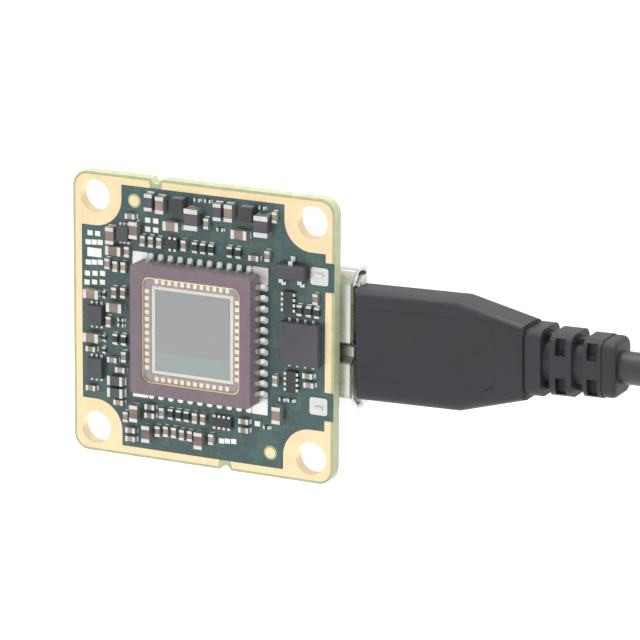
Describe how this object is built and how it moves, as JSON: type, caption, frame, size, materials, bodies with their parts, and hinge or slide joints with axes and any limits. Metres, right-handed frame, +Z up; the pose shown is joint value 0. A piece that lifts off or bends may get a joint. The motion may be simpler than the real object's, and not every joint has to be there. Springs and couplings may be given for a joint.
{
  "type": "board camera",
  "caption": "Board-level machine vision camera: square circuit board with a bare image sensor in the middle and its coiled cable plugged into the edge connector.",
  "frame": {"origin": "centre of the four mounting holes, on the board's front face", "axes": "+X towards the cable connector, +Z up, the image sensor looks along -Y"},
  "size_m": [0.1167, 0.0149, 0.1256],
  "materials": {
    "laminate": "matt",
    "solder_mask": "satin",
    "gold_plating": "satin",
    "tin_solder": "satin",
    "sensor_ceramic": "matt",
    "sensor_silicon": "polished",
    "cream_oxide": "matt",
    "window_glass": "clear",
    "brown_ceramic": "matt",
    "pale_ceramic": "matt",
    "black_ceramic": "satin",
    "purple_ceramic": "satin",
    "ferrite": "satin",
    "chip_moulding": "matt",
    "connector_steel": "satin",
    "connector_black": "matt",
    "connector_white": "matt",
    "plug_pvc": "matt",
    "cable_pvc": "satin",
    "tie_hook_loop": "matt",
    "host_blue": "satin",
    "can_steel": "satin",
    "led_lens": "clear"
  },
  "bodies": {
    "root": {"anchor_solder": "tin_solder", "cable_coil": "cable_pvc", "cable_lead": "cable_pvc", "cable_tail": "cable_pvc", "capacitor_ends": "tin_solder", "chip_resistors": "black_ceramic", "chip_solder": "tin_solder", "circuit_board": "laminate", "coil_tie": "tie_hook_loop", "die_frame": "cream_oxide", "fiducial_marks": "gold_plating", "flash_memory": "chip_moulding", "front_chip_leads": "tin_solder", "front_ground_ring": "gold_plating", "front_solder_mask": "solder_mask", "hole_plating": "gold_plating", "host_plug_contacts": "gold_plating", "host_plug_insulator": "host_blue", "host_plug_overmold": "plug_pvc", "host_plug_shell": "connector_steel", "image_processor": "chip_moulding", "inductors": "ferrite", "io_socket": "connector_white", "io_socket_pins": "gold_plating", "large_capacitors": "brown_ceramic", "memory_chip": "chip_moulding", "oscillator": "can_steel", "plug_contacts": "gold_plating", "plug_insulator": "connector_white", "plug_nose": "connector_steel", "plug_overmold": "plug_pvc", "power_chip_ends": "tin_solder", "power_chips": "purple_ceramic", "power_ics": "chip_moulding", "rear_capacitors": "brown_ceramic", "rear_chip_ends": "tin_solder", "rear_chip_leads": "tin_solder", "rear_ground_ring": "gold_plating", "rear_resistors": "black_ceramic", "rear_solder_mask": "solder_mask", "receptacle_contacts": "gold_plating", "receptacle_insulator": "connector_black", "receptacle_shell": "connector_steel", "regulators": "chip_moulding", "resistor_arrays": "black_ceramic", "resistor_ends": "tin_solder", "sensor_bond_pads": "gold_plating", "sensor_die": "sensor_silicon", "sensor_glass": "window_glass", "sensor_lands": "tin_solder", "sensor_package": "sensor_ceramic", "sensor_seal": "gold_plating", "sensor_terminals": "tin_solder", "small_capacitors": "pale_ceramic", "solder_balls": "tin_solder", "status_led": "led_lens", "test_pads": "tin_solder", "transistor": "chip_moulding", "usb_controller": "chip_moulding"}
  },
  "joints": []
}
